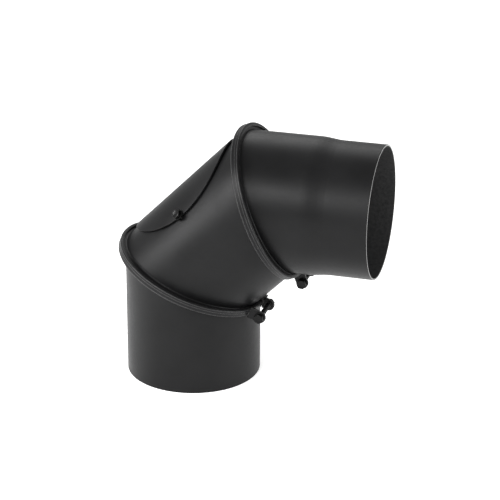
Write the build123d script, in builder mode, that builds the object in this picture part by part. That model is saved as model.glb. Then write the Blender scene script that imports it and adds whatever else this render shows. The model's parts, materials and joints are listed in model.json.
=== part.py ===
from build123d import *
import os
from math import cos, radians, sin, tan

# Adjustable steel flue elbow, nominal bore 150 mm, set at 90 degrees.
# Three round pipe segments meet at two slanted joints. Each joint is a pair of
# round flanges with a flat seal between them, held by a channel-shaped clamp
# band that lets the segments swivel. An oval inspection cover is screwed on
# the outside of the bend.
#
# Frame: the origin is the centre of the lower socket's mouth, +Z runs up the
# lower pipe, and the upper pipe points along +X. The bend lies in plane XZ.

# ---- Driving dimensions, in millimetres and degrees ----

# Pipe; the socket is widened for the pipe below, whose end stops on its shoulder
inner_radius = 75.0
socket_radius = 75.6
socket_depth = 60.0
wall = 2.0
bend_angle = 90.0
lower_leg = 122.1
middle_length = 129.0
upper_leg = 125.1
rim_round = 0.5

# Spigot on the upper pipe, stepped in to fit inside the next pipe's socket
spigot_radius = 74.7
spigot_length = 48.3
step_length = 26.0

# Joint flanges and seals
flange_radius = 87.5
flange_thickness = 2.0
flange_root_round = 1.0
seal_gap = 1.0
seal_thickness = 0.9
seal_inner_radius = 82.0
seal_outer_radius = 86.5

# Clamp bands
band_outer_radius = 89.5
band_lip_radius = 85.8
band_wall = 1.5
band_width = 9.0
band_shoulder_round = 1.4
band_split = 6.0

# Clamp lugs, each an L of sheet: a round-ended leg for the bolt, a foot on the band
lug_wall = 2.5
lug_foot = 1.5
lug_depth = 9.0
lug_half_width = 6.7
lug_spread = 36.9
split_from_rear_lug = 8.0

# M6 clamp bolt, nut and washer
lower_bolt_radius = 96.0
upper_bolt_radius = 100.5
lower_bolt_start = -40.0
upper_bolt_start = -10.0
shank_radius = 3.0
bolt_length = 50.0
bolt_head_flats = 10.0
bolt_head_height = 4.0
bolt_washer_radius = 6.0
bolt_washer_thickness = 1.6
nut_height = 5.0

# Inspection cover, on an oval opening in the back of the bend
cover_half_length = 76.5
cover_half_angle = 46.0
cover_outline_steps = 6
cover_thickness = 2.0
gasket_thickness = 1.3
gasket_inset = 2.5
opening_half_length = 60.0
opening_half_width = 38.0

# M6 cover screws with washers, and weld nuts inside
screw_angle = 43.2
screw_offset = -4.0
screw_length = 12.0

# Clearances
thread_clearance = 0.05
hole_clearance = 0.3
face_clearance = 0.05
thread_end_chamfer = 0.6
washer_round = 0.2

# ---- Values worked out from the driving dimensions ----

pipe_radius = inner_radius + wall
joint_tilt = bend_angle / 4
half_bend = radians(bend_angle / 2)
joint_slant = pipe_radius * tan(radians(joint_tilt))
flange_offset = seal_gap / 2
band_channel_radius = band_outer_radius - band_wall
band_channel_width = band_width - 2 * band_wall
lug_from_head = bolt_head_height + bolt_washer_thickness
corner_radius = bolt_head_flats / 2 / cos(radians(30))

lower_joint_centre = Vector(0, 0, lower_leg)
middle_direction = Vector(sin(half_bend), 0, cos(half_bend))
upper_joint_centre = lower_joint_centre + middle_direction * middle_length
middle_centre = lower_joint_centre + middle_direction * (middle_length / 2)
back_direction = Vector(-cos(half_bend), 0, sin(half_bend))


def joint_plane(centre, tilt):
    """Plane of a slanted joint: x towards the throat of the bend, z up the duct."""
    lean = radians(tilt)
    return Plane(origin=centre, x_dir=(cos(lean), 0, -sin(lean)), z_dir=(sin(lean), 0, cos(lean)))


lower_joint = joint_plane(lower_joint_centre, joint_tilt)
upper_joint = joint_plane(upper_joint_centre, bend_angle - joint_tilt)
middle_section = Plane(origin=middle_centre, x_dir=-back_direction, z_dir=middle_direction)
back_plane = Plane(origin=middle_centre, x_dir=middle_direction, z_dir=back_direction)
upper_half_section = Plane(origin=upper_joint_centre, x_dir=(1, 0, 0), z_dir=(0, -1, 0))
upper_axis = Axis(upper_joint_centre, (1, 0, 0))

os.makedirs("parts", exist_ok=True)


def flange_below(joint):
    """Plane from which a flange under the joint is extruded towards the joint."""
    return joint.offset(-flange_offset - flange_thickness)


def flange_above(joint):
    """Plane from which a flange over the joint is extruded away from the joint."""
    return joint.offset(flange_offset)


def radial_plane(joint):
    """Plane through a joint's axis: x outwards to the throat, y along the duct."""
    return Plane(origin=joint.origin, x_dir=joint.x_dir, z_dir=-joint.y_dir)


def bolt_plane(joint, reach, along):
    """Plane across a clamp's bolt, at a distance along it, facing the bolt's head."""
    origin = joint.from_local_coords((reach, along, 0))
    return Plane(origin=origin, x_dir=joint.x_dir, z_dir=-joint.y_dir)


def screw_seat(side, radius):
    """Plane across a cover screw's axis, at a radius from the middle pipe's axis."""
    outward = back_direction.rotate(Axis((0, 0, 0), middle_direction), side * screw_angle)
    origin = middle_centre + middle_direction * screw_offset + outward * radius
    return Plane(origin=origin, x_dir=middle_direction, z_dir=outward)


def upper_pipe_face(inset):
    """Half outline of the upper pipe, inset from its outer surface, stepping in smoothly to the spigot."""
    start = -2 * joint_slant
    step_start = (upper_leg - spigot_length - step_length, pipe_radius - inset)
    step_end = (upper_leg - spigot_length, spigot_radius - inset)
    with BuildSketch(upper_half_section) as half_section:
        with BuildLine():
            Polyline(step_start, (start, pipe_radius - inset), (start, 0))
            Polyline((start, 0), (upper_leg, 0), (upper_leg, spigot_radius - inset), step_end)
            Spline(step_start, step_end, tangents=((1, 0), (1, 0)))
        make_face()
    return half_section.sketch


def oval_outline(inset):
    """Points of the cover's outline: an ellipse wrapped on the pipe, seen square to the back."""
    half_length = cover_half_length - inset
    half_angle = radians(cover_half_angle) - inset / pipe_radius
    points = []
    for step in range(4 * cover_outline_steps):
        around = radians(90 * step / cover_outline_steps)
        points.append((half_length * cos(around), pipe_radius * sin(half_angle * sin(around))))
    return points


def oval_skin(radius, inset):
    """Oval patch of a cylinder about the middle pipe's axis, on the outside of the bend."""
    with BuildPart() as blank:
        with BuildSketch(middle_section):
            Circle(radius)
        extrude(amount=middle_length, both=True)
        with BuildSketch(back_plane):
            with BuildLine():
                Spline(oval_outline(inset), periodic=True)
            make_face()
        extrude(amount=2 * pipe_radius, mode=Mode.INTERSECT)
    return blank.faces().filter_by(GeomType.CYLINDER).sort_by(Axis(middle_centre, back_direction))[-1]


def hex_screw(seat, length):
    """Hexagon-headed M6 screw: the head stands on the seat plane, the shank goes below it."""
    with BuildPart() as screw:
        with BuildSketch(seat):
            Circle(corner_radius)
        extrude(amount=bolt_head_height)
        top_edge = screw.edges().group_by(Axis(seat.origin, seat.z_dir))[-1]
        chamfer(top_edge, corner_radius - bolt_head_flats / 2)
        with BuildSketch(seat):
            RegularPolygon(bolt_head_flats / 2, 6, major_radius=False)
        extrude(amount=bolt_head_height, mode=Mode.INTERSECT)
        with BuildSketch(seat):
            Circle(shank_radius)
        extrude(amount=-length)
        end_edge = screw.edges().group_by(Axis(seat.origin, seat.z_dir))[0]
        chamfer(end_edge, thread_end_chamfer)
    return screw.part


def hex_nut(face):
    """Hexagon M6 nut below a face plane, bored to run on its screw, a flat towards the plane's x."""
    with BuildPart() as nut:
        with BuildSketch(face):
            RegularPolygon(bolt_head_flats / 2, 6, major_radius=False, rotation=30)
            Circle(shank_radius + thread_clearance, mode=Mode.SUBTRACT)
        extrude(amount=-nut_height)
    return nut.part


def washer(seat, thickness):
    """Flat M6 washer standing on a seat plane, with its outer edges rounded."""
    with BuildPart() as ring:
        with BuildSketch(seat):
            Circle(bolt_washer_radius)
        extrude(amount=thickness)
        fillet(ring.edges(), washer_round)
        with BuildSketch(seat):
            Circle(shank_radius + hole_clearance)
        extrude(amount=thickness, mode=Mode.SUBTRACT)
    return ring.part


# ---- Pipe segments ----

# Lower segment: plain socket at the bottom, slanted flange at the top.
with BuildPart() as lower_segment:
    with BuildSketch(Plane.XY):
        Circle(pipe_radius)
    extrude(amount=lower_leg + 2 * joint_slant)
    split(bisect_by=lower_joint.offset(-flange_offset), keep=Keep.BOTTOM)
    with BuildSketch(flange_below(lower_joint)):
        Circle(flange_radius)
    extrude(amount=flange_thickness)
    fillet(lower_segment.edges().filter_by(GeomType.ELLIPSE), flange_root_round)
    with BuildSketch(Plane.XY):
        Circle(inner_radius)
    extrude(amount=lower_leg + 2 * joint_slant, mode=Mode.SUBTRACT)
    with BuildSketch(Plane.XY):
        Circle(socket_radius)
    extrude(amount=socket_depth, mode=Mode.SUBTRACT)
    fillet(lower_segment.edges().group_by(Axis.Z)[0], rim_round)
lower_segment.part.label = "lower_segment"
export_step(lower_segment.part, "parts/lower_segment.step")

# Middle segment: slanted flanges at both ends, inspection opening in its back.
with BuildPart() as middle_segment:
    with BuildSketch(middle_section):
        Circle(pipe_radius)
    extrude(amount=middle_length / 2 + 2 * joint_slant, both=True)
    split(bisect_by=lower_joint.offset(flange_offset), keep=Keep.TOP)
    split(bisect_by=upper_joint.offset(-flange_offset), keep=Keep.BOTTOM)
    with BuildSketch(flange_above(lower_joint), flange_below(upper_joint)):
        Circle(flange_radius)
    extrude(amount=flange_thickness)
    fillet(middle_segment.edges().filter_by(GeomType.ELLIPSE), flange_root_round)
    with BuildSketch(middle_section):
        Circle(inner_radius)
    extrude(amount=middle_length / 2 + 2 * joint_slant, both=True, mode=Mode.SUBTRACT)
    with BuildSketch(back_plane):
        Ellipse(opening_half_length, opening_half_width)
    extrude(amount=2 * pipe_radius, mode=Mode.SUBTRACT)
    for side in (-1, 1):
        with BuildSketch(screw_seat(side, 0)):
            Circle(shank_radius + hole_clearance)
        extrude(amount=pipe_radius, mode=Mode.SUBTRACT)
middle_segment.part.label = "middle_segment"
export_step(middle_segment.part, "parts/middle_segment.step")

# Upper segment: slanted flange, then a gentle step down to the spigot at the open end.
with BuildPart() as upper_segment:
    revolve(upper_pipe_face(0), axis=upper_axis)
    split(bisect_by=upper_joint.offset(flange_offset), keep=Keep.TOP)
    with BuildSketch(flange_above(upper_joint)):
        Circle(flange_radius)
    extrude(amount=flange_thickness)
    fillet(upper_segment.edges().filter_by(GeomType.ELLIPSE), flange_root_round)
    revolve(upper_pipe_face(wall), axis=upper_axis, mode=Mode.SUBTRACT)
    fillet(upper_segment.edges().group_by(Axis.X)[-1], rim_round)
upper_segment.part.label = "upper_segment"
export_step(upper_segment.part, "parts/upper_segment.step")

# ---- Joint seals and clamps ----

for name, joint in (("lower", lower_joint), ("upper", upper_joint)):
    # Flat woven ring pinched between the two flanges.
    with BuildPart() as joint_seal:
        with BuildSketch(joint.offset(-flange_offset)):
            Circle(seal_outer_radius)
            Circle(seal_inner_radius, mode=Mode.SUBTRACT)
        extrude(amount=seal_thickness)
    joint_seal.part.label = name + "_joint_seal"
    export_step(joint_seal.part, "parts/" + name + "_joint_seal.step")

for name, joint, bolt_start, bolt_reach in (
        ("lower", lower_joint, lower_bolt_start, lower_bolt_radius),
        ("upper", upper_joint, upper_bolt_start, upper_bolt_radius)):
    front_leg = bolt_start + lug_from_head
    rear_leg = front_leg + lug_spread

    # Channel ring over both flanges, split beside the rear lug.
    with BuildPart() as clamp_band:
        with BuildSketch(radial_plane(joint)) as channel:
            with Locations(((band_lip_radius + band_outer_radius) / 2, 0)):
                Rectangle(band_outer_radius - band_lip_radius, band_width)
            fillet(channel.vertices().group_by(Axis.X)[-1], band_shoulder_round)
            with Locations(((band_lip_radius + band_channel_radius) / 2, 0)):
                Rectangle(band_channel_radius - band_lip_radius, band_channel_width, mode=Mode.SUBTRACT)
        revolve(axis=Axis(joint.origin, joint.z_dir))
        with BuildSketch(joint.offset(-band_width)):
            with Locations((band_outer_radius, rear_leg - split_from_rear_lug)):
                Rectangle(band_outer_radius, band_split)
        extrude(amount=2 * band_width, mode=Mode.SUBTRACT)
    clamp_band.part.label = name + "_clamp_band"
    export_step(clamp_band.part, "parts/" + name + "_clamp_band.step")

    # L-shaped lugs welded on the band, the rear one's foot under the nut.
    for place, start in (("front", front_leg), ("rear", rear_leg)):
        with BuildPart() as lug:
            with BuildSketch(radial_plane(joint).offset(-start - lug_depth)):
                with Locations((bolt_reach, 0)):
                    Circle(lug_half_width)
                with Locations((bolt_reach / 2, 0)):
                    Rectangle(bolt_reach, 2 * lug_half_width)
            extrude(amount=lug_depth)
            with BuildSketch(joint):
                Circle(band_outer_radius)
            extrude(amount=lug_half_width, both=True, mode=Mode.SUBTRACT)
            with BuildSketch(joint):
                with Locations((bolt_reach, start + lug_wall + lug_depth)):
                    Rectangle(bolt_reach, 2 * lug_depth)
                Circle(band_outer_radius + lug_foot, mode=Mode.SUBTRACT)
            extrude(amount=lug_half_width, both=True, mode=Mode.SUBTRACT)
            with BuildSketch(bolt_plane(joint, bolt_reach, start)):
                Circle(shank_radius + hole_clearance)
            extrude(amount=-lug_wall, mode=Mode.SUBTRACT)
        lug.part.label = name + "_" + place + "_lug"
        export_step(lug.part, "parts/" + name + "_" + place + "_lug.step")

    clamp_bolt = hex_screw(bolt_plane(joint, bolt_reach, bolt_start + bolt_head_height), bolt_length)
    clamp_bolt.label = name + "_clamp_bolt"
    export_step(clamp_bolt, "parts/" + name + "_clamp_bolt.step")

    clamp_washer = washer(bolt_plane(joint, bolt_reach, front_leg), bolt_washer_thickness - face_clearance)
    clamp_washer.label = name + "_clamp_washer"
    export_step(clamp_washer, "parts/" + name + "_clamp_washer.step")

    clamp_nut = hex_nut(bolt_plane(joint, bolt_reach, rear_leg + lug_wall))
    clamp_nut.label = name + "_clamp_nut"
    export_step(clamp_nut, "parts/" + name + "_clamp_nut.step")

# ---- Inspection cover ----

# Curved oval plate, concentric with the middle pipe.
with BuildPart() as inspection_cover:
    thicken(oval_skin(pipe_radius + gasket_thickness, 0), amount=cover_thickness)
    for side in (-1, 1):
        with BuildSketch(screw_seat(side, 0)):
            Circle(shank_radius + hole_clearance)
        extrude(amount=2 * pipe_radius, mode=Mode.SUBTRACT)
inspection_cover.part.label = "inspection_cover"
export_step(inspection_cover.part, "parts/inspection_cover.step")

# Curved oval ring around the opening, under the cover.
with BuildPart() as cover_gasket:
    thicken(oval_skin(pipe_radius, gasket_inset), amount=gasket_thickness)
    with BuildSketch(back_plane):
        Ellipse(opening_half_length, opening_half_width)
    extrude(amount=2 * pipe_radius, mode=Mode.SUBTRACT)
    for side in (-1, 1):
        with BuildSketch(screw_seat(side, 0)):
            Circle(shank_radius + hole_clearance)
        extrude(amount=2 * pipe_radius, mode=Mode.SUBTRACT)
cover_gasket.part.label = "cover_gasket"
export_step(cover_gasket.part, "parts/cover_gasket.step")

# Screws with washers on the cover, and nuts welded inside the wall with their
# corners just clear of its curve.
washer_seat = pipe_radius + gasket_thickness + cover_thickness + face_clearance
head_seat = washer_seat + bolt_washer_thickness
nut_seat = (inner_radius ** 2 - corner_radius ** 2) ** 0.5

for name, side in (("front", -1), ("rear", 1)):
    cover_washer = washer(screw_seat(side, washer_seat), bolt_washer_thickness - face_clearance)
    cover_washer.label = name + "_cover_washer"
    export_step(cover_washer, "parts/" + name + "_cover_washer.step")

    cover_screw = hex_screw(screw_seat(side, head_seat), screw_length)
    cover_screw.label = name + "_cover_screw"
    export_step(cover_screw, "parts/" + name + "_cover_screw.step")

    weld_nut = hex_nut(screw_seat(side, nut_seat))
    weld_nut.label = name + "_weld_nut"
    export_step(weld_nut, "parts/" + name + "_weld_nut.step")
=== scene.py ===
import json
import math

import bmesh
import bpy
from mathutils import Matrix, Vector


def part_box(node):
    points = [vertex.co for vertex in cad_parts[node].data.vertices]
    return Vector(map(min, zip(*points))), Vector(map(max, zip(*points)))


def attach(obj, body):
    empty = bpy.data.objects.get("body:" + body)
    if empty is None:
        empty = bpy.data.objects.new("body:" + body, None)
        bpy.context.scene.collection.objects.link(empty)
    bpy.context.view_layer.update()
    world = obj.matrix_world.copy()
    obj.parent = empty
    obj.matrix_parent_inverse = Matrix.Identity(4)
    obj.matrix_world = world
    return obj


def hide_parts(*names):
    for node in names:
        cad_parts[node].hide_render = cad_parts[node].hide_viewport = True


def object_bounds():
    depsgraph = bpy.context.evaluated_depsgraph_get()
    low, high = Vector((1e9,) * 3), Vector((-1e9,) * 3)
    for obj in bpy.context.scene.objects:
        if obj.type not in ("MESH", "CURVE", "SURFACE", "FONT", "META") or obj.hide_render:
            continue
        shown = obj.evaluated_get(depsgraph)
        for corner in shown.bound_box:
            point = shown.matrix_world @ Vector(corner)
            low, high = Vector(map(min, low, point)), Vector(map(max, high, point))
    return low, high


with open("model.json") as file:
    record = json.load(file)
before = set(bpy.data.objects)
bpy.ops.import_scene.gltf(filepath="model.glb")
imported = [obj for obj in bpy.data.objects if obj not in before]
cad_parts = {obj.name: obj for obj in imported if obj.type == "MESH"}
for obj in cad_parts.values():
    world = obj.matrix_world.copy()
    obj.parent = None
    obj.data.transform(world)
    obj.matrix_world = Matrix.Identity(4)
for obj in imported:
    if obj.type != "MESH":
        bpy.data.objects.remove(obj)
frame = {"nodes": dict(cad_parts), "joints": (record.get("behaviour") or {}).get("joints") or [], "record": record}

cad_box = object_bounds()
MM = 0.001

# ---- The frame: joints, axes and radii that the pieces are placed by ----

joints = {joint["name"]: joint for joint in frame["joints"]}
mounts = {mount["name"]: mount for mount in frame["record"]["mounts"]}


def joint_place(name):
    """A joint's point and unit axis, in metres."""
    return Vector(joints[name]["pos_m"]), Vector(joints[name]["axis"]).normalized()


lower_centre = joint_place("lower_swivel")[0]
upper_centre = joint_place("upper_swivel")[0]
middle_centre = (lower_centre + upper_centre) / 2
middle_axis = (upper_centre - lower_centre).normalized()
lower_axis = Vector((0, 0, 1))
upper_axis = Vector((1, 0, 0))
far_side = Vector((0, 1, 0))

# The pipes' wall and outer radius, as in the CAD
wall = 2 * MM
pipe_radius = 77 * MM
spigot_radius = mounts["upper_spigot"]["dims"]["r_mm"] * MM
spigot_end = Vector(mounts["upper_spigot"]["pos_m"])
# Start and end of the step down to the spigot, along the upper pipe from its joint
SPIGOT_STEP = (50.8 * MM, 76.8 * MM)


def direction(bearing, height):
    """Unit vector at a bearing round the object from its front, and at an angle above the floor."""
    return Vector((
        math.sin(bearing) * math.cos(height),
        -math.cos(bearing) * math.cos(height),
        math.sin(height),
    ))


# ---- Camera ----

AZIMUTH = math.radians(16.09)
ELEVATION = math.radians(22.01)
ROLL = math.radians(0.35)
CAMERA_DISTANCE = 2.0
LENS = 127.7
AIM_OFFSET = Vector((0.0010, 0.0, 0.0028))


def add_camera():
    """The photograph's viewpoint, aimed near the middle of the object's box."""
    sight = direction(AZIMUTH, ELEVATION)
    right = Vector((math.cos(AZIMUTH), math.sin(AZIMUTH), 0.0))
    up = sight.cross(right)
    rolled_right = right * math.cos(ROLL) + up * math.sin(ROLL)
    rolled_up = up * math.cos(ROLL) - right * math.sin(ROLL)
    aim = (Vector(cad_box[0]) + Vector(cad_box[1])) / 2 + AIM_OFFSET
    place = Matrix((rolled_right, rolled_up, sight)).transposed().to_4x4()
    place.translation = aim + sight * CAMERA_DISTANCE
    data = bpy.data.cameras.new("camera")
    data.lens = LENS
    data.sensor_width = 36.0
    camera = bpy.data.objects.new("camera", data)
    camera.matrix_world = place
    bpy.context.scene.collection.objects.link(camera)
    bpy.context.scene.camera = camera


# ---- Floor, surroundings and light ----

FLOOR_REACH = 6.0
FLOOR_GAP = 0.2 * MM
FLOOR_GLOW = 0.5
# Strength of the white surroundings as they light the object, and as the camera sees them
ROOM_LIGHT = 0.5
BACKDROP_LIGHT = 1.05
SOFT_BOX_TARGET = Vector((0.07, 0.0, 0.15))
SOFT_BOX_DISTANCE = 1.7
# Name, bearing and height angle in degrees, size and power
SOFT_BOXES = (
    ("left_softbox", -60, 24, (0.8, 0.8), 31),
    ("front_softbox", -18, 34, (0.9, 0.5), 19),
    ("right_softbox", 80, 12, (0.6, 0.9), 20),
    ("back_softbox", 200, 40, (0.8, 0.8), 6),
)


def add_floor():
    """Plain pale floor, which glows a little so that it stays white out to the horizon."""
    sides = ((-1, -1), (1, -1), (1, 1), (-1, 1))
    corners = [(x * FLOOR_REACH, y * FLOOR_REACH, 0) for x, y in sides]
    mesh = bpy.data.meshes.new("floor")
    mesh.from_pydata(corners, [], [(0, 1, 2, 3)])
    floor = bpy.data.objects.new("floor", mesh)
    floor.location.z = cad_box[0][2] - FLOOR_GAP
    bpy.context.scene.collection.objects.link(floor)
    material = bpy.data.materials.new("studio_floor")
    material.use_nodes = True
    shader = material.node_tree.nodes["Principled BSDF"]
    shader.inputs["Base Color"].default_value = (0.9, 0.9, 0.9, 1)
    shader.inputs["Roughness"].default_value = 0.95
    shader.inputs["Specular IOR Level"].default_value = 0.1
    shader.inputs["Emission Color"].default_value = (1, 1, 1, 1)
    shader.inputs["Emission Strength"].default_value = FLOOR_GLOW
    mesh.materials.append(material)


def add_surroundings():
    """White world, brighter to the camera than to the object."""
    world = bpy.data.worlds.new("studio")
    world.use_nodes = True
    tree = world.node_tree
    background = tree.nodes["Background"]
    background.inputs["Color"].default_value = (1, 1, 1, 1)
    path = tree.nodes.new("ShaderNodeLightPath")
    strength = tree.nodes.new("ShaderNodeMapRange")
    strength.inputs["To Min"].default_value = ROOM_LIGHT
    strength.inputs["To Max"].default_value = BACKDROP_LIGHT
    tree.links.new(path.outputs["Is Camera Ray"], strength.inputs["Value"])
    tree.links.new(strength.outputs["Result"], background.inputs["Strength"])
    bpy.context.scene.world = world


def add_soft_box(name, bearing, height, size, power):
    """Rectangular area light that shines on the object from a bearing and a height angle."""
    away = direction(math.radians(bearing), math.radians(height))
    data = bpy.data.lights.new(name, "AREA")
    data.shape = "RECTANGLE"
    data.size, data.size_y = size
    data.energy = power
    light = bpy.data.objects.new(name, data)
    turn = (-away).to_track_quat("-Z", "Y").to_matrix().to_4x4()
    light.matrix_world = Matrix.Translation(SOFT_BOX_TARGET + away * SOFT_BOX_DISTANCE) @ turn
    bpy.context.scene.collection.objects.link(light)


def add_studio():
    """Floor, surroundings and soft boxes at the left, front, right and back."""
    add_floor()
    add_surroundings()
    for soft_box in SOFT_BOXES:
        add_soft_box(*soft_box)
    bpy.context.scene.view_settings.view_transform = "Standard"


# ---- Materials ----

# Darkest and palest tint, tint of the worn edges, and roughness; on the band the edge tint is mostly a painted
# highlight along its rounded shoulders
PIPE_PAINT = ((0.0036, 0.0036, 0.0038), (0.0065, 0.0065, 0.0068), (0.05, 0.049, 0.047), 0.42)
# The band's edge tint is much paler than its paint: a painted highlight along the band's shoulders, with a little
# wear
BAND_PAINT = ((0.004, 0.004, 0.0043), (0.007, 0.007, 0.0073), (0.10, 0.098, 0.095), 0.36)
# The ridges' paint is several times paler than the band's: a painted highlight on the ridge tops, not a different
# paint
RIDGE_HIGHLIGHT_TINTS = ((0.02, 0.02, 0.021), (0.035, 0.035, 0.035), (0.1, 0.098, 0.095), 0.3)
BLACK_STEEL = ((0.002, 0.002, 0.002), (0.004, 0.004, 0.004), (0.04, 0.039, 0.037), 0.3)
SEAL_FIBRE = ((0.006, 0.006, 0.006), (0.015, 0.015, 0.015), (0.015, 0.015, 0.015), 0.85)
BARE_STEEL = ((0.16, 0.16, 0.16), (0.26, 0.26, 0.255), (0.4, 0.4, 0.39), 0.38)
LINING_DARK = (0.021, 0.021, 0.0215)
LINING_PALE = (0.036, 0.036, 0.036)
GLOSS_LEVEL = 0.145
LINING_DULLNESS = 0.2

# Scales of the noises, per metre
CLOUD_SCALE = 14
WEAR_SCALE = 260
MOTTLE_SCALE = 300
SPECK_SCALE = 420
GRAIN_SCALE = 1500

GRAIN_DEPTH = 0.1 * MM
BEVEL_SAMPLES = 6
# Depth under the pipe's outer surface where its inner coat starts, and the coat's fade
LINING_DEPTH = 0.8 * MM
LINING_FADE = 0.3 * MM
# Colour inputs and the colour output of a Mix node, which share their names with its other sockets
MIX_COLOURS = (6, 7)
MIX_RESULT = 2


def node_maker(material):
    """Two short functions that add a node to a material's tree and join sockets."""
    tree = material.node_tree

    def add(kind, **settings):
        node = tree.nodes.new(kind)
        for key, value in settings.items():
            setattr(node, key, value)
        return node

    def join(out_socket, in_socket):
        tree.links.new(out_socket, in_socket)

    return add, join


def noise(add, join, vector, scale, detail=2.0, roughness=0.5):
    """Noise of a given scale per metre; returns its value socket."""
    node = add("ShaderNodeTexNoise")
    node.inputs["Scale"].default_value = scale
    node.inputs["Detail"].default_value = detail
    node.inputs["Roughness"].default_value = roughness
    join(vector, node.inputs["Vector"])
    return node.outputs["Fac"]


def spread(add, join, value, from_range, to_range):
    """Maps a value from one range to another, clamped."""
    node = add("ShaderNodeMapRange")
    join(value, node.inputs["Value"])
    node.inputs["From Min"].default_value, node.inputs["From Max"].default_value = from_range
    node.inputs["To Min"].default_value, node.inputs["To Max"].default_value = to_range
    return node.outputs["Result"]


def combine(add, join, operation, first, second):
    """Math node on two sockets, or on a socket and a number."""
    node = add("ShaderNodeMath", operation=operation)
    for socket, value in zip(node.inputs, (first, second)):
        if isinstance(value, (int, float)):
            socket.default_value = value
        else:
            join(value, socket)
    return node.outputs["Value"]


def vector_math(add, join, operation, first, second):
    """Vector math node on a socket and either a socket or a vector."""
    node = add("ShaderNodeVectorMath", operation=operation)
    join(first, node.inputs[0])
    if isinstance(second, Vector):
        node.inputs[1].default_value = second
    else:
        join(second, node.inputs[1])
    return node


def blend_colour(add, join, share, first, second):
    """Mix of two colours, each a socket or a tuple, by a share socket."""
    node = add("ShaderNodeMix", data_type="RGBA")
    join(share, node.inputs["Factor"])
    for index, value in zip(MIX_COLOURS, (first, second)):
        if isinstance(value, tuple):
            node.inputs[index].default_value = (*value, 1)
        else:
            join(value, node.inputs[index])
    return node.outputs[MIX_RESULT]


def rounded_normal(add, width):
    """Normal socket of the surface with its sharp edges rounded to a width."""
    bevel = add("ShaderNodeBevel", samples=BEVEL_SAMPLES)
    bevel.inputs["Radius"].default_value = width
    return bevel.outputs["Normal"]


def edge_mask(add, join, vector, width):
    """1 on sharp edges, 0 elsewhere, broken up by noise."""
    flat = add("ShaderNodeNewGeometry").outputs["Normal"]
    dot = vector_math(add, join, "DOT_PRODUCT", rounded_normal(add, width), flat)
    turned = spread(add, join, dot.outputs["Value"], (0.99, 0.86), (0.0, 1.0))
    chips = noise(add, join, vector, WEAR_SCALE, detail=4.0)
    broken = spread(add, join, chips, (0.42, 0.62), (0.15, 1.0))
    return combine(add, join, "MULTIPLY", turned, broken)


def lining_mask(add, join, place, centre, axis):
    """1 on the inner side of the upper pipe's wall, from the distance to the pipe's axis."""
    offset = vector_math(add, join, "SUBTRACT", place, centre).outputs["Vector"]
    across = vector_math(add, join, "CROSS_PRODUCT", offset, axis).outputs["Vector"]
    distance = add("ShaderNodeVectorMath", operation="LENGTH")
    join(across, distance.inputs[0])
    along = vector_math(add, join, "DOT_PRODUCT", offset, axis).outputs["Value"]
    outer_limit = pipe_radius - LINING_DEPTH
    limit = spread(add, join, along, SPIGOT_STEP, (outer_limit, outer_limit - wall))
    depth = combine(add, join, "SUBTRACT", limit, distance.outputs["Value"])
    return spread(add, join, depth, (0.0, LINING_FADE), (0.0, 1.0))


def stove_paint(name, dark, pale, worn_and_highlight_tint, roughness, grain=0.12, edge=0.5 * MM, lining=None):
    """Satin heat-resistant paint: fine grain, faint cloudy gloss, and a paler tint on sharp edges, which is wear,
    and on the clamp band mostly a painted highlight.

    A lining is a point and the axis of a pipe whose inner side has a thin, greyer coat.
    """
    material = bpy.data.materials.new(name)
    material.use_nodes = True
    add, join = node_maker(material)
    shader = material.node_tree.nodes["Principled BSDF"]
    place = add("ShaderNodeTexCoord").outputs["Object"]
    clouds = noise(add, join, place, CLOUD_SCALE, detail=3.0)
    grains = noise(add, join, place, GRAIN_SCALE, roughness=0.6)
    specks = noise(add, join, place, SPECK_SCALE)

    tint = blend_colour(add, join, spread(add, join, clouds, (0.35, 0.65), (0, 1)), dark, pale)
    pale_grains = spread(add, join, grains, (0.52, 0.72), (0, 0.5))
    speckled = blend_colour(add, join, pale_grains, tint, pale)
    # Paler tint along sharp edges: wear, and on the clamp band a painted highlight
    wear_and_highlight = edge_mask(add, join, place, edge)
    colour = blend_colour(add, join, wear_and_highlight, speckled, worn_and_highlight_tint)
    gloss = spread(add, join, clouds, (0.3, 0.7), (roughness - 0.04, roughness + 0.05))
    if lining:
        inside = lining_mask(add, join, place, *lining)
        mottle = noise(add, join, place, MOTTLE_SCALE, detail=5.0, roughness=0.7)
        patches = spread(add, join, mottle, (0.35, 0.65), (0, 1))
        thin_coat = blend_colour(add, join, patches, LINING_DARK, LINING_PALE)
        colour = blend_colour(add, join, inside, colour, thin_coat)
        dullness = combine(add, join, "MULTIPLY", inside, LINING_DULLNESS)
        gloss = combine(add, join, "ADD", gloss, dullness)
    join(colour, shader.inputs["Base Color"])
    fine_gloss = spread(add, join, specks, (0.3, 0.7), (-0.03, 0.03))
    join(combine(add, join, "ADD", gloss, fine_gloss), shader.inputs["Roughness"])
    shader.inputs["Metallic"].default_value = 0.0
    shader.inputs["Specular IOR Level"].default_value = GLOSS_LEVEL

    bump = add("ShaderNodeBump")
    bump.inputs["Strength"].default_value = grain
    bump.inputs["Distance"].default_value = GRAIN_DEPTH
    join(grains, bump.inputs["Height"])
    join(rounded_normal(add, edge), bump.inputs["Normal"])
    join(bump.outputs["Normal"], shader.inputs["Normal"])
    return material


def dress(node, material):
    """Leaves a CAD node with one material."""
    slots = frame["nodes"][node].data.materials
    slots.clear()
    slots.append(material)


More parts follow.
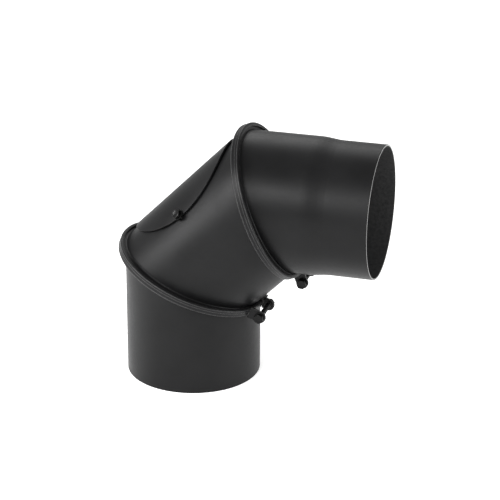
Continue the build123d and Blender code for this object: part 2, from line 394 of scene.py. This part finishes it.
def paint_everything():
    """Gives each CAD node its material; returns the materials that the other pieces use."""
    pipe = stove_paint("pipe_paint", *PIPE_PAINT)
    # Wide edge width so that the paler edge tint draws painted highlight lines along the band's shoulders
    band = stove_paint("band_paint", *BAND_PAINT, edge=1.1 * MM)
    steel = stove_paint("black_steel", *BLACK_STEEL)
    fibre = stove_paint("seal_fibre", *SEAL_FIBRE, grain=0.6)
    by_slot = {"pipe_enamel": pipe, "band_enamel": band, "fastener_black": steel, "seal_fibre": fibre}
    for part in frame["record"]["subparts"]:
        dress(part["node"], by_slot[part["material_slot"]])
    lined_pipe = stove_paint("lined_pipe_paint", *PIPE_PAINT, lining=(upper_centre, upper_axis))
    dress("upper_segment", lined_pipe)
    bare = stove_paint("bare_cut_edge", *BARE_STEEL)
    # Paler paint for the band's ridges: a painted highlight
    ridge = stove_paint("ridge_highlight_paint", *RIDGE_HIGHLIGHT_TINTS)
    return pipe, band, steel, bare, ridge


# ---- Meshes from rings of points ----

SHARP_ANGLE = math.radians(32)


def placed(origin, z_axis, x_axis):
    """Matrix that puts a piece's own z and x along the given directions."""
    z_axis = z_axis.normalized()
    y_axis = z_axis.cross(x_axis).normalized()
    place = Matrix((y_axis.cross(z_axis), y_axis, z_axis)).transposed().to_4x4()
    place.translation = origin
    return place


def turns(steps):
    """Angles evenly round a full turn."""
    return [2 * math.pi * step / steps for step in range(steps)]


def evenly(start, end, spacing):
    """Points from start to end, both included, about a spacing apart."""
    count = max(2, round((end - start).length / spacing))
    return [start.lerp(end, step / count) for step in range(count + 1)]


def add_rings(mesh, rings, closed_loop=False):
    """Skins rows of points, each a closed ring, with quads."""
    rows = [[mesh.verts.new(point) for point in ring] for ring in rings]
    pairs = list(zip(rows, rows[1:]))
    if closed_loop:
        pairs.append((rows[-1], rows[0]))
    for low, high in pairs:
        for step in range(len(low)):
            after = (step + 1) % len(low)
            mesh.faces.new((low[step], low[after], high[after], high[step]))
    return rows


def add_rod(mesh, rings):
    """Skins rings and closes both ends."""
    rows = add_rings(mesh, rings)
    mesh.faces.new(rows[0])
    mesh.faces.new(rows[-1])


def finish_piece(name, mesh, material, body, replaced=None):
    """Turns a bmesh into a shaded piece that rides on a body."""
    bmesh.ops.recalc_face_normals(mesh, faces=mesh.faces)
    data = bpy.data.meshes.new(name)
    mesh.to_mesh(data)
    mesh.free()
    data.shade_smooth()
    data.set_sharp_from_angle(angle=SHARP_ANGLE)
    data.materials.append(material)
    piece = bpy.data.objects.new(name, data)
    bpy.context.scene.collection.objects.link(piece)
    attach(piece, body)
    if replaced:
        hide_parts(replaced)


# ---- Fasteners: M6, with cut threads and chamfered hexagons ----

FLATS = 10 * MM
HEAD_HEIGHT = 4 * MM
NUT_HEIGHT = 5 * MM
NUT_BORE = 3.05 * MM
COUNTERSINK = 0.45 * MM
SCREW_LENGTH = 12 * MM

HEX_STEPS = 72
CHAMFER_SLOPE = math.tan(math.radians(30))
EDGE_BREAK = 0.12 * MM
END_FACE_RADIUS = 0.96 * FLATS / 2
DISH_RIM_RADIUS = 0.72 * FLATS / 2
DISH_FLOOR_RADIUS = 0.62 * FLATS / 2
DISH_DEPTH = 0.25 * MM

PITCH = 1 * MM
CREST_RADIUS = 3 * MM
NECK_RADIUS = 0.9 * CREST_RADIUS
THREAD_DEPTH = 0.5 * MM
# Half the groove's width, as a share of the pitch
GROOVE_HALF_WIDTH = 0.42
TIP_CHAMFER = 0.6 * MM
THREAD_STEPS = 24
ROWS_PER_PITCH = 6


def round_ring(radius, height, steps=HEX_STEPS):
    """Plain circle of points."""
    return [(radius * math.cos(angle), radius * math.sin(angle), height) for angle in turns(steps)]


def hexagon_radius(angle, first_corner):
    """Distance from a hexagon's centre to its outline."""
    sector = math.radians(60)
    return FLATS / 2 / math.cos((angle - first_corner) % sector - sector / 2)


def hexagon_ring(height, inset, first_corner, slope=0):
    """Ring inside a hexagon's outline, falling towards its corners by a slope."""
    ring = []
    for angle in turns(HEX_STEPS):
        radius = hexagon_radius(angle, first_corner)
        fall = slope * (radius - FLATS / 2)
        reach = radius - inset
        ring.append((reach * math.cos(angle), reach * math.sin(angle), height - fall))
    return ring


def hexagon_body(height, first_corner):
    """Rings up the outside of a hexagon whose outer end is turned to a chamfer."""
    return [
        hexagon_ring(0, EDGE_BREAK, first_corner),
        hexagon_ring(EDGE_BREAK, 0, first_corner),
        hexagon_ring(height - EDGE_BREAK, 0, first_corner, CHAMFER_SLOPE),
        hexagon_ring(height, EDGE_BREAK, first_corner, CHAMFER_SLOPE),
        round_ring(END_FACE_RADIUS, height),
    ]


def add_thread(mesh, length):
    """Helical thread on a shank from the seat down, with a chamfered end."""
    rows = int(length / PITCH * ROWS_PER_PITCH)
    rings = []
    for row in range(rows + 1):
        depth = length * row / rows
        ring = []
        for step, angle in enumerate(turns(THREAD_STEPS)):
            turn = (depth / PITCH + step / THREAD_STEPS) % 1
            radius = CREST_RADIUS - THREAD_DEPTH * max(0, 1 - abs(turn - 0.5) / GROOVE_HALF_WIDTH)
            radius = min(radius, CREST_RADIUS - TIP_CHAMFER + (length - depth))
            ring.append((radius * math.cos(angle), radius * math.sin(angle), -depth))
        rings.append(ring)
    mesh.faces.new(add_rings(mesh, rings)[-1])


def add_bolt(node, body, material, place, length):
    """Hexagon-headed bolt with a dished head and a cut thread, in place of its CAD node."""
    mesh = bmesh.new()
    rings = [round_ring(NECK_RADIUS, 0)]
    rings += hexagon_body(HEAD_HEIGHT, 0)
    rings.append(round_ring(DISH_RIM_RADIUS, HEAD_HEIGHT))
    rings.append(round_ring(DISH_FLOOR_RADIUS, HEAD_HEIGHT - DISH_DEPTH))
    mesh.faces.new(add_rings(mesh, rings)[-1])
    add_thread(mesh, length)
    mesh.transform(place)
    finish_piece("detailed_" + node, mesh, material, body, node)


def add_nut(node, body, material, place):
    """Hexagon nut, chamfered outside and countersunk inside, in place of its CAD node."""
    mesh = bmesh.new()
    mouth = NUT_BORE + COUNTERSINK
    rings = [round_ring(NUT_BORE, COUNTERSINK), round_ring(mouth, 0)]
    rings += hexagon_body(NUT_HEIGHT, math.radians(30))
    rings += [round_ring(mouth, NUT_HEIGHT), round_ring(NUT_BORE, NUT_HEIGHT - COUNTERSINK)]
    add_rings(mesh, rings, closed_loop=True)
    mesh.transform(place)
    finish_piece("detailed_" + node, mesh, material, body, node)


def add_clamp_fasteners(name, steel):
    """Bolt and nut of a clamp band, the nut on the rear lug's far face."""
    centre = joint_place(name + "_swivel")[0]
    seat, outward = joint_place(name + "_bolt_turn")
    radial = (seat - centre) - far_side * (seat - centre).y
    low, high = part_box(name + "_clamp_bolt")
    length = high[1] - seat.y
    add_bolt(name + "_clamp_bolt", name + "_bolt", steel, placed(seat, outward, radial), length)
    nut_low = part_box(name + "_clamp_nut")[0]
    nut_face = Vector((seat.x, nut_low[1], seat.z))
    add_nut(name + "_clamp_nut", name + "_clamp", steel, placed(nut_face, -outward, radial))


def add_cover_screws(steel):
    """The two short screws that hold the inspection cover."""
    for name in ("front", "rear"):
        seat, outward = joint_place(name + "_screw_turn")
        place = placed(seat, outward, middle_axis)
        add_bolt(name + "_cover_screw", name + "_screw", steel, place, SCREW_LENGTH)


# ---- Weld beads and seams ----

BEAD_SIDES = 8
BEAD_WAVE = 0.16
BEAD_END = 0.35

LUG_WELD_SIZE = (2.2 * MM, 0.8 * MM)
LUG_WELD_RIPPLE = 4
LUG_WELD_HALF_LENGTH = 3.6 * MM
LUG_WELD_GAP = 0.1 * MM
LUG_WELD_SPACING = 0.3 * MM

SEAM_SIZE = (3.2 * MM, 0.35 * MM)
SEAM_RIPPLE = 5
SEAM_SPACING = 0.5 * MM
SEAM_SINK = 0.05 * MM
# How far the seams stop short of the socket's mouth, the flanges and the spigot's mouth
SOCKET_MARGIN = 4 * MM
FLANGE_MARGIN = 4.5 * MM
THROAT_MARGIN = 7 * MM
SPIGOT_MARGIN = 1.5 * MM
MITRE_ANGLE = math.radians(22.5)


def add_bead(mesh, points, outward, size, ripple):
    """Weld bead: a wavy rod along points, half sunk in a surface; a ripple is so many points long."""
    width, height = size
    rings = []
    last = len(points) - 1
    for index, point in enumerate(points):
        along = (points[min(index + 1, last)] - points[max(index - 1, 0)]).normalized()
        across = along.cross(outward).normalized()
        wave = 1 - BEAD_WAVE * math.cos(2 * math.pi * index / ripple)
        taper = min(1, BEAD_END + min(index, last - index) / ripple)
        ring = []
        for angle in turns(BEAD_SIDES):
            flat = across * (math.cos(angle) * width / 2 * wave * taper)
            ring.append(point + flat + outward * (math.sin(angle) * height * wave * taper))
        rings.append(ring)
    add_rod(mesh, rings)


def band_radius(name):
    """Outer radius of a clamp band, from its box across the bend."""
    low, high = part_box(name + "_clamp_band")
    return (high[1] - low[1]) / 2


def add_lug_welds(name, material):
    """Beads across the band where the feet of the two lugs end."""
    centre, normal = joint_place(name + "_swivel")
    radius = band_radius(name)
    half = normal * LUG_WELD_HALF_LENGTH
    radial = Vector((normal.z, 0, -normal.x))
    if radial.z > 0:
        radial = -radial
    mesh = bmesh.new()
    for lug in ("front", "rear"):
        low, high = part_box(name + "_" + lug + "_lug")
        for along in (low[1] - LUG_WELD_GAP, high[1] + LUG_WELD_GAP):
            reach = radial * math.sqrt(radius ** 2 - along ** 2) + far_side * along
            points = evenly(centre + reach - half, centre + reach + half, LUG_WELD_SPACING)
            add_bead(mesh, points, reach.normalized(), LUG_WELD_SIZE, LUG_WELD_RIPPLE)
    finish_piece(name + "_lug_welds", mesh, material, name + "_clamp")


def step_drop(along):
    """How far the upper pipe's surface has stepped in, at a distance along it from the joint."""
    start, end = SPIGOT_STEP
    share = min(1, max(0, (along - start) / (end - start)))
    return (pipe_radius - spigot_radius) * share * share * (3 - 2 * share)


def add_seam(name, points, outward, material):
    """Lengthwise weld seam of a rolled pipe."""
    mesh = bmesh.new()
    add_bead(mesh, points, outward, SEAM_SIZE, SEAM_RIPPLE)
    finish_piece(name + "_pipe_seam", mesh, material, name + "_pipe")


def add_pipe_seams(material):
    """Seams of the three pipes, the outer two on the far side and the middle one in the throat."""
    surface = pipe_radius - SEAM_SINK
    side = far_side * surface
    foot = lower_axis * SOCKET_MARGIN
    top = lower_centre - lower_axis * FLANGE_MARGIN
    add_seam("lower", evenly(foot + side, top + side, SEAM_SPACING), far_side, material)

    throat = middle_axis.cross(far_side)
    if throat.z > 0:
        throat = -throat
    half = (upper_centre - lower_centre).length / 2
    reach = middle_axis * (half - pipe_radius * math.tan(MITRE_ANGLE) - THROAT_MARGIN)
    inner = middle_centre + throat * surface
    add_seam("middle", evenly(inner - reach, inner + reach, SEAM_SPACING), throat, material)

    start = upper_centre + upper_axis * FLANGE_MARGIN + side
    end = spigot_end - upper_axis * SPIGOT_MARGIN + side
    straight = evenly(start, end, SEAM_SPACING)
    points = [point - far_side * step_drop(point.x - upper_centre.x) for point in straight]
    add_seam("upper", points, far_side, material)


# ---- Rolled ridges and the cut edge ----

# Place along the band's width, width and height of each ridge
BAND_RIDGES = (
    (-3.0 * MM, 1.0 * MM, 0.3 * MM),
    (0.6 * MM, 0.8 * MM, 0.22 * MM),
    (3.3 * MM, 0.9 * MM, 0.3 * MM),
)
RIDGE_STEPS = 300
RIDGE_SIDES = 8
LUG_CLEARANCE = 2 * MM

# Depth in from the spigot's outer side and height over its end face, across the wall
CUT_EDGE_PROFILE = (
    (wall - 0.35 * MM, -0.05 * MM),
    (wall - 0.55 * MM, 0.16 * MM),
    (wall / 2, 0.24 * MM),
    (0.55 * MM, 0.16 * MM),
    (0.35 * MM, -0.05 * MM),
)
CUT_EDGE_STEPS = 240


def add_band_ridges(name, material):
    """Fine rolled ridges round a clamp band, stopping short of its lugs; their paler paint is a painted highlight
    on the ridge tops.
    """
    centre, normal = joint_place(name + "_swivel")
    radius = band_radius(name)
    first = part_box(name + "_front_lug")[0][1] - LUG_CLEARANCE
    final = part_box(name + "_rear_lug")[1][1] + LUG_CLEARANCE
    start = math.asin(final / radius)
    sweep = 2 * math.pi + math.asin(first / radius) - start
    mesh = bmesh.new()
    for offset, width, height in BAND_RIDGES:
        rings = []
        for step in range(RIDGE_STEPS + 1):
            angle = start + sweep * step / RIDGE_STEPS
            ring = []
            for turn in turns(RIDGE_SIDES):
                reach = radius + height * math.sin(turn)
                across = offset + width / 2 * math.cos(turn)
                ring.append((reach * math.cos(angle), reach * math.sin(angle), across))
            rings.append(ring)
        add_rod(mesh, rings)
    mesh.transform(placed(centre, normal, Vector((normal.z, 0, -normal.x))))
    finish_piece(name + "_band_ridges", mesh, material, name + "_clamp")


def add_cut_edge(material):
    """Bright ground edge of the open spigot: a slightly crowned ring on its end face."""
    rings = []
    for inset, proud in CUT_EDGE_PROFILE:
        rings.append(round_ring(spigot_radius - inset, proud, CUT_EDGE_STEPS))
    mesh = bmesh.new()
    add_rings(mesh, rings)
    mesh.transform(placed(spigot_end, upper_axis, lower_axis))
    finish_piece("spigot_cut_edge", mesh, material, "upper_pipe")


# ---- The scene ----

add_camera()
add_studio()
pipe_paint, band_paint, black_steel, bare_steel, ridge_highlight_paint = paint_everything()
for clamp in ("lower", "upper"):
    add_clamp_fasteners(clamp, black_steel)
    add_lug_welds(clamp, band_paint)
    add_band_ridges(clamp, ridge_highlight_paint)
add_cover_screws(black_steel)
add_pipe_seams(pipe_paint)
add_cut_edge(bare_steel)
